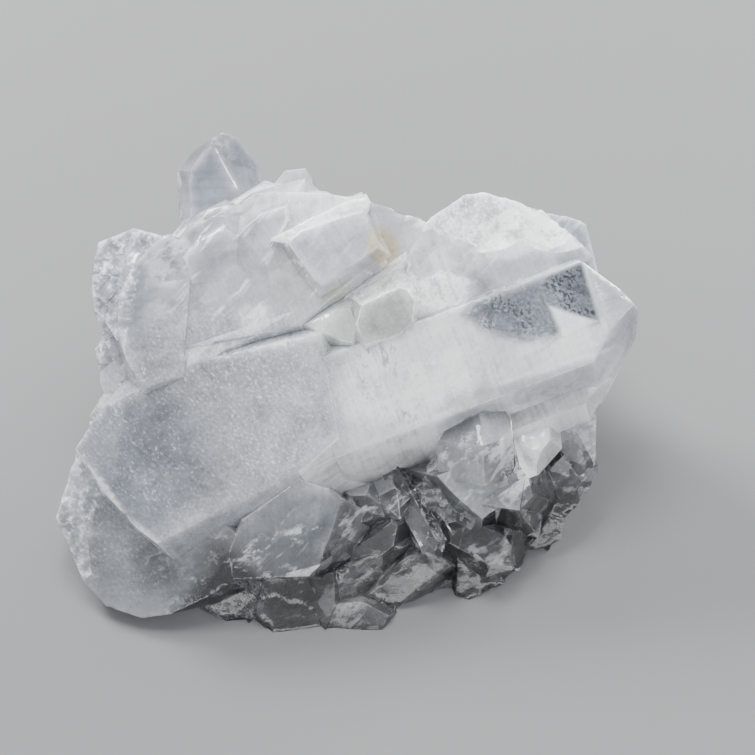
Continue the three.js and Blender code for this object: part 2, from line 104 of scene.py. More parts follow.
def inside_and_far(points, ring, gap):
    """The 2-D points inside the ring and at least gap from it, and how far from it they are."""
    a = ring
    b = np.roll(ring, -1, axis=0)
    keep = np.zeros(len(points), bool)
    inset = np.zeros(len(points))
    for start in range(0, len(points), 512):
        p = points[start:start + 512, None, :]
        ab = (b - a)[None]
        t = np.clip(((p - a) * ab).sum(2) / np.maximum((ab * ab).sum(2), 1e-18), 0, 1)
        far = np.linalg.norm(p - a - t[..., None] * ab, axis=2).min(1)
        crosses = (a[None, :, 1] > p[..., 1]) != (b[None, :, 1] > p[..., 1])
        rise = np.where(b[:, 1] == a[:, 1], 1e-18, b[:, 1] - a[:, 1])
        at = a[:, 0] + (p[..., 1] - a[:, 1]) / rise * (b[:, 0] - a[:, 0])
        odd = (crosses & (p[..., 0] < at)).sum(1) % 2 == 1
        keep[start:start + 512] = (far > gap) & odd
        inset[start:start + 512] = far
    return points[keep], inset[keep]


def grid_in(ring, step):
    """Points of a triangular grid of that step inside the ring."""
    low = ring.min(0)
    high = ring.max(0)
    row = step * math.sqrt(3) / 2
    rows = []
    for j, y in enumerate(np.arange(low[1] + row / 2, high[1], row)):
        xs = np.arange(low[0] + (j % 2) * step / 2, high[0], step)
        rows.append(np.stack([xs, np.full(len(xs), y)], axis=1))
    if not rows:
        return np.zeros((0, 2)), np.zeros(0)
    return inside_and_far(np.concatenate(rows), ring, 0.55 * step)


def rim_points(ring, worn, rim):
    """A row of points along each worn side of the ring, rim inside it."""
    out = []
    for i, is_worn in enumerate(worn):
        if is_worn:
            a = ring[i]
            b = ring[(i + 1) % len(ring)]
            along = b - a
            length = np.linalg.norm(along)
            if length > 1e-7:
                inward = np.array([-along[1], along[0]]) / length
                out.append((a + b) / 2 + inward * rim)
    if not out:
        return np.zeros((0, 2)), np.zeros(0)
    return inside_and_far(np.array(out), ring, 0.8 * rim)


class Fine:
    """The fine mesh: points, triangles, and the plane face of the CAD node that each triangle lies in."""

    def __init__(self, corners):
        self.points = corners
        self.inset = [0.0] * len(corners)  # how far each point is from its face's outline
        self.ridge = {}  # points on an edge, and how sharp it is; hollow edges have a negative angle
        self.edge_wear = {}  # the same points, and how worn that edge is, 0 to 1
        self.triangles = []
        self.face_of = []
        self.axis = []  # of each face: the direction of its longest side
        self.normal = []
        self.middle = []
        self.area = []

    def as_arrays(self):
        for name in ("points", "triangles", "face_of", "axis", "normal", "middle", "area", "inset"):
            setattr(self, name, np.array(getattr(self, name)))
        self.wear = np.array([self.edge_wear.get(i, 0.0) for i in range(len(self.points))])
        return self


def fine_mesh(node):
    bm = flat_faces(node)
    fine = Fine([v.co.copy() for v in bm.verts])
    chains = {}
    rng = np.random.default_rng(WEAR_SEED)
    for e in bm.edges:
        worn = rng.random() ** 2
        first, last = e.verts
        angle = e.calc_face_angle_signed(0)
        step = EDGE_STEP if abs(angle) > SHARP else STEP
        if max(f.normal.dot(OUT) for f in e.link_faces) < 0:
            step *= BACK_COARSE
        count = max(1, math.ceil(e.calc_length() / (step * MM)))
        middle = range(len(fine.points), len(fine.points) + count - 1)
        fine.points += [first.co.lerp(last.co, i / count) for i in range(1, count)]
        fine.inset += [0.0] * len(middle)
        chains[e.index] = [first.index, *middle, last.index]
        if abs(angle) > SHARP:
            for i in chains[e.index]:
                fine.ridge[i] = max(fine.ridge.get(i, angle), angle)
                fine.edge_wear[i] = max(fine.edge_wear.get(i, 0.0), worn)
    for number, f in enumerate(bm.faces):
        loop = []
        sharp = []
        for corner in f.loops:
            chain = chains[corner.edge.index]
            if chain[0] != corner.vert.index:
                chain = chain[::-1]
            loop += chain[:-1]
            sharp += [abs(corner.edge.calc_face_angle_signed(0)) > SHARP] * (len(chain) - 1)
        longest = max(f.edges, key=lambda e: e.calc_length())
        x_axis = (longest.verts[1].co - longest.verts[0].co).normalized()
        y_axis = f.normal.cross(x_axis)
        origin = fine.points[loop[0]].copy()
        ring = np.array([
            ((fine.points[i] - origin).dot(x_axis), (fine.points[i] - origin).dot(y_axis)) for i in loop
        ])
        rim, rim_inset = rim_points(ring, sharp, RIM * MM)
        coarse = BACK_COARSE if f.normal.dot(OUT) < 0 else 1
        grid, grid_inset = grid_in(ring, STEP * MM * (UNDER_COARSE if f.normal.z < -0.99 else coarse))
        inner = np.concatenate([rim, grid])
        new = cut_face(ring, inner)
        ids = list(loop)
        if new is None:
            new = [tuple(t) for t in tessellate_polygon([[Vector((*p, 0)) for p in ring]])]
        else:
            ids += range(len(fine.points), len(fine.points) + len(inner))
            fine.inset += [*rim_inset, *grid_inset]
            fine.points += [origin + x_axis * float(x) + y_axis * float(y) for x, y in inner]
        fine.triangles += [[ids[i] for i in t] for t in new]
        fine.face_of += [number] * len(new)
        fine.axis.append(x_axis)
        fine.normal.append(f.normal.copy())
        fine.middle.append(f.calc_center_median())
        fine.area.append(f.calc_area())
    bm.free()
    return fine.as_arrays()


def cut_face(ring, inner):
    """Triangles over the ring and the points in it, as indices; None where the ring crosses itself."""
    corners = [Vector(p) for p in np.concatenate([ring, inner])]
    ring_ids = list(range(len(ring)))
    _, _, faces, origins, _, insides = delaunay_2d_cdt(corners, [], [ring_ids], 1, 1e-9, True)
    if any(len(o) != 1 for o in origins) or len(origins) != len(corners):
        return None
    return [tuple(origins[i][0] for i in face) for face, inside in zip(faces, insides) if inside]


# ---------------------------------------------------------------- what is painted where

SMALL_FACE = 60  # mm2, a face up to this size has one tone of paint all over
LARGE_FACE = 400  # mm2, from this size on the paint varies freely
TONE_SEED = 4


def brush(uvw, middle, reach, turn=0, soft=0.5):
    """1 well inside an ellipsoid in the slope frame, 0 outside, eased over soft."""
    d = uvw - np.array(middle)
    c = math.cos(math.radians(turn))
    s = math.sin(math.radians(turn))
    a = (d[:, 0] * c + d[:, 1] * s) / reach[0]
    b = (d[:, 1] * c - d[:, 0] * s) / reach[1]
    r = np.sqrt(a * a + b * b + (d[:, 2] / reach[2]) ** 2)
    return 1 - smoothstep(1 - soft / 2, 1 + soft / 2, r)


# Each stroke: how strong, the middle in the slope frame, half-axes along the turned u, v and w, and the turn
# in degrees. A negative strength wipes away what lies under the stroke.
STROKES = {
    # cloudy quartz; the rest is clearer
    "milk": [
        (0.85, (-25, -5, 12), (46, 26, 30), 14),
        (0.8, (-28, 26, 12), (36, 24, 30), 20),
        (0.9, (14, 4, 12), (44, 16, 30), 20),
        (0.85, (26, 27, 10), (28, 14, 30), 15),
        (0.9, (17, 27, 10), (12, 8, 14), 15),
        (0.75, (-56, -34, 4), (20, 24, 30), -20),
        (0.75, (36, -4, 6), (26, 9, 30), 20),
        (0.6, (-35, 45, -8), (13, 14, 14), 0),
        (0.6, (-19, -33, 7), (15, 11, 6), 0),
        (0.3, (21, -14, 8), (10, 10, 9), 0),
        (0.8, (35, -15, 5), (6, 7, 8), 0),
        (0.4, (22, -26, 5), (10, 5, 8), 0),
        (0.4, (45, -12, 0), (5, 6, 12), 0),
        (-0.45, (22, -12.5, 12), (9, 6, 8), 0),
    ],
    # the lower crystals: clearer quartz, with painted shade in grey, as they lie in shade under the cluster
    "smoke": [
        (0.9, (4, -42, -2), (20, 12, 12), 0),
        (0.6, (13, -27, 0), (6, 5, 10), 0),
        (0.6, (24, -34, -2), (9, 7, 10), 0),
        (0.8, (20, -48, -6), (16, 7, 12), 20),
        (0.8, (37, -25, -4), (9, 10, 12), 0),
        (0.7, (44, -20, -4), (7, 7, 12), 0),
        (0.9, (33, -33, -8), (6, 6, 12), 0),
        (0.8, (-26, -50, -2), (20, 7, 12), 0),
        (0.25, (-52, -40, 2), (16, 14, 14), -20),
    ],
    # quartz that is a little greyer, and painted shade on faces turned away from the light
    "grey": [
        (0.80, (-58, -34, 0), (24, 24, 14), -20),
        (0.65, (-52, -18, 8), (16, 14, 14), 14),
        (0.35, (-32, -8, 10), (30, 22, 14), 14),
        (0.95, (-35, 44, -8), (13, 16, 14), 0),
        (1.00, (-60, 22, 0), (14, 20, 20), 0),
        (0.70, (-12.0, -32.5, 6), (6, 1.6, 8), 45),
        (0.40, (-30, 24, 8), (34, 20, 20), 20),
        (0.80, (56, 10, 6), (8, 16, 16), 0),
        (0.40, (-19, -33, 7), (15, 11, 6), 0),
        (0.60, (22, -26, 4), (12, 7, 12), 0),
        (0.45, (21, -9.5, 13), (9, 5, 5), 0),
        (0.50, (38, -1.5, 10), (22, 3.4, 8), 15),
        (0.45, (51, 12, 10), (6, 9, 10), 0),
        (0.35, (26, 25, 10), (28, 11, 30), 15),
        (0.6, (21, 37, 8), (9, 4, 14), 0),
        (0.85, (44.5, 30, 6), (5.5, 9, 14), -20),
    ],
    # bright, nearly white quartz, and painted light: highlight and glint lines, and the main crystal's
    # down-facing lower face painted as if lit
    "white_and_lit": [
        (0.8, (8, 2, 12), (18, 10, 12), 25),
        (0.6, (35, 5, 14), (20, 3.5, 10), 20),
        (0.7, (34, 7, 14), (4, 1.2, 8), 22),
        (1.0, (13, 17.5, 10), (8, 4.5, 10), 10),
        (0.8, (35, -15, 5), (6, 6.5, 8), 0),
        (0.25, (22, -26, 6), (8, 4, 8), -10),
        (0.7, (24, -40, 2), (6.5, 3, 8), -30),
        (0.5, (25, -13, 9), (4, 3, 5), 0),
        (0.4, (30, -5, 6), (32, 5, 12), 20),
        (0.9, (10, -13, 8), (24, 4.5, 9), 22),
        (1.0, (12, -14, 8), (28, 5, 12), 20),
        (0.6, (0, -21, 8), (8, 4, 8), 25),
        (0.9, (-14, 35.5, 12), (10, 3.2, 10), 27),
        (0.8, (1.5, 24, 12), (7, 2.2, 10), 45),
        (0.5, (-27, 13, 12), (4, 3, 10), 0),
        (0.5, (-20, -46, 4), (5, 3, 8), 0),
        (0.9, (30, 31, 10), (10, 5, 12), 10),
        (0.5, (15, 27, 10), (10, 6, 12), 15),
        (1.0, (-59.5, -24, 4), (10, 0.9, 14), -52),
        (0.9, (-49, -35, 4), (7, 0.9, 14), -39),
        (0.9, (-23, -25.5, 8), (6, 0.8, 8), 42),
        (1.0, (33.9, 6.6, 14), (4.5, 0.9, 8), 22),
        (1.0, (-54.8, 7.0, 8), (4, 0.7, 8), 82),
        (1.0, (7.7, -18.5, 8), (1.6, 1.2, 8), 20),
        (0.9, (-37.2, 6.0, 12), (2.2, 0.9, 8), 15),
        (-0.6, (38, -1.5, 10), (22, 3.4, 8), 15),
        (0.7, (40, 2.9, 12), (18, 0.5, 8), 17),
        (-1.0, (22, -12.5, 12), (9, 6, 8), 0),
        (0.4, (24, -11, 12), (2.5, 3, 8), 0),
    ],
    # broken and frosted faces
    "frost": [
        (1.0, (24, 37, 8), (20, 7, 14), 0),
        (0.8, (40, 33, 6), (12, 6, 14), -30),
        (0.5, (-57, 20, 4), (7, 18, 14), 0),
        (0.45, (-67, -28, 0), (7, 24, 14), -15),
        (0.8, (3, 20, 10), (6, 6, 8), 30),
        (0.3, (22, -26, 6), (8, 4, 8), -10),
        (0.8, (24, -40, 2), (6.5, 3, 8), -30),
        (0.9, (14, 18.5, 9), (7, 4.5, 8), 15),
        (-0.9, (44.5, 29, 6), (5, 9, 14), -20),
    ],
    # small bright flecks, partly painted glints of the striations, and grain
    "flecks": [
        (1.0, (-38, -8, 12), (28, 22, 12), 14),
        (0.6, (-54, -34, 4), (14, 14, 14), 0),
        (0.3, (10, 4, 12), (30, 12, 12), 20),
    ],
    # bright streaks along the upper crystals, and flaws in the clear ones
    "streaks": [
        (0.9, (-40, 28, 10), (14, 14, 14), 40),
        (0.5, (-22, 20, 12), (16, 12, 12), 30),
        (0.5, (24, 28, 10), (20, 8, 14), 15),
        (0.9, (-21, -35, 7), (9, 6, 6), 30),
        (0.5, (22, -20, 6), (10, 10, 10), 0),
    ],
    # white flaws inside the clearer crystals
    "flaws": [
        (1.0, (-25.5, -37, 6), (6, 2.6, 8), 30),
        (1.0, (-17, -34.3, 6), (6, 2.4, 8), 30),
        (0.8, (-20, -43, 4), (6, 2.5, 8), 0),
        (0.8, (18, -15, 8), (3, 5, 8), -60),
        (0.8, (25, -15, 8), (3, 4, 8), 0),
        (0.8, (24, -40, 1), (6, 2.5, 8), -30),
        (0.6, (-45, 25, 12), (6, 5, 8), 40),
        (0.6, (10, 37, 4), (6, 4, 8), 0),
        (0.8, (3, 21, 10), (6, 4, 8), 45),
        (0.7, (-37, 6, 12), (6, 1.6, 8), 15),
        (0.6, (42, 9, 14), (3, 3, 8), 0),
    ],
    # fine dark cracks across the main crystal
    "cracks": [
        (1.0, (3, -1, 12), (8, 13, 10), 20),
        (0.5, (18, 4, 12), (14, 7, 10), 20),
    ],
    # dark specks in clear quartz
    "specks": [
        (0.9, (14, -27, 2), (5, 3.5, 8), -20),
        (0.9, (-28, -48, 2), (5, 4, 8), 0),
        (0.6, (-40, -50, 0), (5, 3, 8), 0),
        (0.3, (-34, 43, -8), (5, 6, 10), 0),
    ],
    # places made up of many small flat parts
    "facets": [
        (1.0, (-30, 27, 10), (34, 22, 20), 20),
        (0.9, (28, 28, 10), (26, 12, 20), 15),
        (0.5, (14, -44, -4), (40, 20, 20), 20),
        (0.4, (-56, -34, 4), (20, 20, 20), 0),
    ],
    # a greenish tinge
    "green": [
        (0.7, (-2, 13, 14), (12, 6, 8), 20),
        (0.5, (-19, 21, 13), (5, 8, 8), 20),
    ],
    # a rusty stain
    "stain": [
        (1.0, (1, 28.5, 9), (3.6, 4.6, 14), 20),
        (0.35, (-9, 18.5, 10), (4, 1.6, 8), 30),
    ],
}
# Strokes of the same kind, where edges are worn white and carry painted highlights.
WORN_AND_LIT = [
    (0.9, (-19, -24, 8), (10, 4, 8), 40),
    (1.0, (-58, -26, 8), (16, 7, 10), -50),
    (0.8, (-14, 33, 12), (14, 8, 10), 27),
    (0.7, (12, 16, 10), (10, 8, 10), 20),
    (0.6, (35, -16, 5), (8, 8, 8), 0),
    (0.6, (-33, 12, 12), (12, 8, 8), 0),
    (0.4, (6, -24, 3), (7, 8, 8), 0),
    (0.6, (12, -40, 0), (32, 16, 16), 10),
]
BY_FACE = {"smoke"}  # a face of any size has one tone of these
FREE = {"stain", "flaws", "cracks"}  # and these vary freely over faces of any size


def painted(uvw, strokes):
    """The strokes laid over each other in turn, 0 to 1."""
    value = np.zeros(len(uvw))
    for strength, middle, reach, turn in strokes:
        value += abs(strength) * brush(uvw, middle, reach, turn) * ((strength > 0) - value)
    return value


# ---------------------------------------------------------------- the relief


WAVE = 0.08  # mm, how high the waves of a face are
TERRACE = 0.16  # mm, the rise of one step of growth
TERRACES = 5  # how many steps the layers' noise is cut into
FACE_EASE = 2.2  # mm, how far in from its outline the relief of a face is full
MOSAIC_TURN = 38  # degrees, the way the flat parts are drawn out
TILT = 0.012  # slope of the larger flat parts
SMALL_TILT = 0.006  # and of the smaller ones
SHELL = 1.1  # mm, depth of the larger hollows of a broken face
SMALL_SHELL = 0.45  # mm, and of the smaller ones
EDGE_LOSS = 0.07  # mm, worn off every sharp edge
CHIP_LOSS = 0.45  # mm, how deep the chips go
CHIP_REACH = 1.3  # mm, and how far in from the edge


def relief(fine, uvw, paint):
    """How far each point moves along its normal, in metres, and the tone of the flat parts."""
    points = fine.points
    face = smoothstep(0, FACE_EASE * MM, fine.inset)
    # Faces are never quite flat, and step up where a layer of growth stopped.
    move = WAVE * MM * noise_at(points, 17 * MM, seed=1, octaves=2)
    layers = noise_at(points, 26 * MM, seed=2) * TERRACES
    terrace = np.floor(layers) + smoothstep(0.86, 1.0, layers % 1)
    move += TERRACE * MM * (terrace - layers) * face
    # In places they are made up of flat parts, each tilted a little its own way.
    tilted, tone = mosaic_at(uvw, size=10, turn=MOSAIC_TURN, stretch=1.7)
    small_tilted, small_tone = mosaic_at(uvw, size=4.5, turn=MOSAIC_TURN, stretch=1.5)
    move += (TILT * tilted + SMALL_TILT * small_tilted) * MM * paint["facets"] * face
    # Broken places are rough and shelly: hollows that meet in ridges.
    shells = cells_at(points, 7 * MM, seed=3) - 0.5
    small_shells = cells_at(points, 2.8 * MM, seed=4) - 0.5
    move += paint["frost"] * MM * (SHELL * shells + SMALL_SHELL * small_shells)
    # Edges are worn, and chipped here and there.
    edge = edge_weight(fine)
    nicks = smoothstep(0.15, 0.6, noise_at(points, 5 * MM, seed=5))
    near = np.where(fine.inset > 0, 1 - smoothstep(0, CHIP_REACH * MM, fine.inset), edge)
    move -= edge * EDGE_LOSS * MM + near * CHIP_LOSS * nicks * MM
    return move, (tone + small_tone) / 2


def edge_weight(fine, full=60, side=1):
    """1 on an edge of full degrees or more, less on a blunter one, 0 elsewhere; side is -1 for hollow edges."""
    edge = np.zeros(len(fine.points))
    for i, angle in fine.ridge.items():
        edge[i] = min(1.0, max(0.0, side * angle) / math.radians(full))
    return edge


def seam_weight(fine):
    """The same for the hollow edges where crystals meet, which the material darkens as painted shade."""
    return edge_weight(fine, full=40, side=-1)


def paint_by_face(fine, name, point_values):
    """Paint at each triangle's corners. A small face takes the paint at its middle, and so has one tone."""
    face_values = painted(slope_frame(fine.middle), STROKES[name])
    small = 1 - smoothstep(SMALL_FACE * MM ** 2, LARGE_FACE * MM ** 2, fine.area)
    if name in BY_FACE:
        small[:] = 1
    if name in FREE:
        small[:] = 0
    at_corners = point_values[fine.triangles.ravel()]
    face_of = np.repeat(fine.face_of, 3)
    return at_corners + small[face_of] * (face_values[face_of] - at_corners)


def growth_frame(fine):
    """At each triangle's corners: the distance along and across its face, and a tone of the face's own."""
    face_of = np.repeat(fine.face_of, 3)
    axis = fine.axis[face_of]
    across = np.cross(fine.normal[face_of], axis)
    at = fine.points[fine.triangles.ravel()]
    tone = np.random.default_rng(TONE_SEED).random(len(fine.area))
    return np.stack([(at * axis).sum(1), (at * across).sum(1), tone[face_of]], axis=1)


def add_layer(mesh, name, domain, values):
    kind, key = ("FLOAT_VECTOR", "vector") if values.ndim == 2 else ("FLOAT", "value")
    mesh.attributes.new(name, kind, domain).data.foreach_set(key, values.ravel())


def crystal_piece(node):
    fine = fine_mesh(node)
    mesh = bpy.data.meshes.new("quartz_crystals")
    mesh.from_pydata(fine.points.tolist(), [], fine.triangles.tolist())
    mesh.update()
    normals = np.zeros(len(fine.points) * 3)
    mesh.vertex_normals.foreach_get("vector", normals)
    uvw = slope_frame(fine.points)
    paint = {name: painted(uvw, strokes) for name, strokes in STROKES.items()}
    move, mosaic = relief(fine, uvw, paint)
    moved = fine.points + normals.reshape(-1, 3) * move[:, None]
    on_floor = fine.points[:, 2] < 0.02 * MM
    moved[:, 2] = np.where(on_floor, fine.points[:, 2], np.maximum(moved[:, 2], 0))
    mesh.vertices.foreach_set("co", moved.ravel())
    mesh.update()
    add_layer(mesh, "growth", "CORNER", growth_frame(fine))
    # Fine patches are worked into the paint here, so that the material needs fewer layers of noise.
    patches = smoothstep(-0.25, 0.3, noise_at(fine.points, 6 * MM, seed=7))
    for name in ("cracks", "specks", "streaks"):
        paint[name] *= patches
    for name, value in paint.items():
        add_layer(mesh, name, "CORNER", paint_by_face(fine, name, value))
    clouds = smoothstep(-0.35, 0.35, noise_at(fine.points, 20 * MM, seed=6, octaves=5))
    add_layer(mesh, "clouds", "POINT", clouds)
    add_layer(mesh, "patches", "POINT", patches)
    add_layer(mesh, "mosaic", "POINT", mosaic)
    # Sharp edges are drawn white in the material: wear, and painted highlights along them.
    wear = 0.2 + 0.8 * fine.wear * smoothstep(-0.3, 0.4, noise_at(fine.points, 9 * MM, seed=8, octaves=2))
    add_layer(mesh, "edge", "POINT", edge_weight(fine) * np.maximum(wear, painted(uvw, WORN_AND_LIT)))
    # Painted shade: the hollow edges where crystals meet are darkened in the material's colour.
    crease_shade = seam_weight(fine)
    add_layer(mesh, "crease_shade", "POINT", crease_shade)
    # Painted light: each face is paler near its outline, where light comes through the thin edge, but not along
    # the seams.
    thin = 1 - smoothstep(0, THIN_EDGE * MM, fine.inset)
    add_layer(mesh, "thin", "POINT", thin * (1 - crease_shade))
    mesh.polygons.foreach_set("use_smooth", np.ones(len(mesh.polygons), bool))
    mesh.set_sharp_from_angle(angle=SHADED_SHARP)
    piece = bpy.data.objects.new("quartz_crystals", mesh)
    bpy.context.scene.collection.objects.link(piece)
    return piece


# ---------------------------------------------------------------- the quartz


class Graph:
    """Short names for the node tree of one material."""

    def __init__(self, name):
        self.material = bpy.data.materials.new(name)
        self.material.use_nodes = True
        self.tree = self.material.node_tree
        self.tree.nodes.clear()

    def node(self, kind, **values):
        """A new node; in_Some_Name or in_0 sets an input, and anything else a property."""
        made = self.tree.nodes.new(kind)
        for key, value in values.items():
            if key.startswith("in_"):
                socket = key[3:].replace("_", " ")
                self.feed(made.inputs[int(socket) if socket.isdigit() else socket], value)
            else:
                setattr(made, key, value)
        return made

    def feed(self, socket, value):
        if isinstance(value, bpy.types.NodeSocket):
            self.tree.links.new(value, socket)
        else:
            socket.default_value = value

    def attribute(self, name, output="Fac"):
        return self.node("ShaderNodeAttribute", attribute_name=name).outputs[output]

    def math(self, operation, a, b, clamp=False):
        made = self.node("ShaderNodeMath", operation=operation, use_clamp=clamp, in_0=a, in_1=b)
        return made.outputs[0]

    def times(self, a, b, clamp=False):
        return self.math("MULTIPLY", a, b, clamp)

    def plus(self, a, b, clamp=False):
        return self.math("ADD", a, b, clamp)

    def minus(self, a, b, clamp=False):
        return self.math("SUBTRACT", a, b, clamp)

    def most(self, first, *others):
        """The largest of the values."""
        for other in others:
            first = self.math("MAXIMUM", first, other)
        return first

    def component(self, vector, axis):
        return self.node("ShaderNodeSeparateXYZ", in_Vector=vector).outputs[axis]

    def scaled(self, vector, factors):
        return self.node("ShaderNodeVectorMath", operation="MULTIPLY", in_0=vector, in_1=factors).outputs[0]

    def noise(self, vector, size, detail, rough=0.55):
        """Noise of 0 to 1; size is the width of its largest bumps in mm."""
        made = self.node("ShaderNodeTexNoise", in_Vector=vector, in_Scale=1 / (size * MM),
                         in_Detail=detail, in_Roughness=rough)
        return made.outputs["Fac"]

    def lines(self, vector, size, width):
        """Thin wandering lines about size mm apart, 1 on them and 0 between."""
        away = self.math("ABSOLUTE", self.minus(self.noise(vector, size, 1, 0.5), 0.5), 0)
        return self.minus(1.0, self.between(away, width * 0.4, width))

    def shards(self, vector, size):
        """Flat-sided cells about size mm across, each with a tone of 0 to 1."""
        cells = self.node("ShaderNodeTexVoronoi", in_Vector=vector, in_Scale=1 / (size * MM))
        return self.component(cells.outputs["Color"], "X")

    def between(self, value, low, high):
        """0 at low and 1 at high, eased; low may be the larger."""
        made = self.node("ShaderNodeMapRange", interpolation_type="SMOOTHSTEP", in_Value=value,
                         in_From_Min=low, in_From_Max=high)
        return made.outputs["Result"]

    def drawn_out(self, vector, turn, stretch):
        """The same place, for a pattern drawn out by stretch along a direction of the u-v plane."""
        return self.node("ShaderNodeMapping", vector_type="TEXTURE", in_Vector=vector,
                         in_Rotation=(0, 0, math.radians(turn)), in_Scale=(stretch, 1, 1)).outputs[0]

    def outline(self, slope, corners, soft):
        """1 inside the convex outline of those u, v corners in mm, anticlockwise; eased over soft mm."""
        least = 1.0
        for (u0, v0), (u1, v1) in zip(corners, corners[1:] + corners[:1]):
            length = math.hypot(u1 - u0, v1 - v0)
            inward = ((v0 - v1) / length, (u1 - u0) / length, 0)
            side = self.node("ShaderNodeVectorMath", operation="DOT_PRODUCT", in_0=slope, in_1=inward)
            line = u0 * inward[0] + v0 * inward[1]
            within = self.between(side.outputs["Value"], (line - soft / 2) * MM, (line + soft / 2) * MM)
            least = self.math("MINIMUM", least, within)
        return least

    def mix(self, factor, a, b):
        return self.node("ShaderNodeMix", data_type="RGBA", in_0=factor, in_6=a, in_7=b).outputs[2]

    def lerp(self, factor, a, b):
        return self.node("ShaderNodeMix", data_type="FLOAT", in_0=factor, in_2=a, in_3=b).outputs[0]


# Outlines in the main crystal's broad face, u and v in mm: a clear window of two lobes, and a bright wedge.
WINDOW_LEFT = [(18.5, 13.5), (22.5, 10.2), (33.0, 7.8), (39.6, 9.0), (38.6, 22.2), (21.0, 16.8)]
WINDOW_RIGHT = [(36.6, 15.0), (45.0, 11.0), (48.0, 11.8), (44.0, 24.8), (35.6, 21.4)]
WEDGE = [(37.0, 15.6), (40.2, 8.6), (47.8, 12.2)]
WINDOW_FRONT = 9  # mm, only what stands out further than this has the window


def clear_window(g, slope):
    """How much of each place lies in the main crystal's clear window, and in the bright wedge."""
    front = g.between(g.component(slope, "Z"), WINDOW_FRONT * MM, (WINDOW_FRONT + 1) * MM)
    left = g.times(g.outline(slope, WINDOW_LEFT, 3.2), 0.95)
    right = g.outline(slope, WINDOW_RIGHT, 1.3)
    wedge = g.times(g.outline(slope, WEDGE, 1.4), front)
    clear = g.times(g.most(left, right), front)
    return g.times(clear, g.minus(1.0, wedge)), g.times(wedge, 0.6)


IOR = 1.544  # of quartz
# Linear colours.
THIN_MILK = (0.70, 0.72, 0.76, 1)
MILK = (0.80, 0.815, 0.84, 1)
GREY = (0.33, 0.36, 0.42, 1)
LOWER_SHADE_GREY = (0.64, 0.65, 0.65, 1)
PALE = (0.93, 0.94, 0.95, 1)
WINDOW = (0.31, 0.35, 0.42, 1)
BRIGHT = (0.95, 0.955, 0.96, 1)
GREEN = (0.56, 0.60, 0.50, 1)
RUST = (0.72, 0.57, 0.30, 1)
WHITE = (0.96, 0.965, 0.97, 1)
DARK = (0.03, 0.035, 0.045, 1)
DEEP = (0.82, 0.84, 0.86, 1)  # what the quartz's own volume lets through


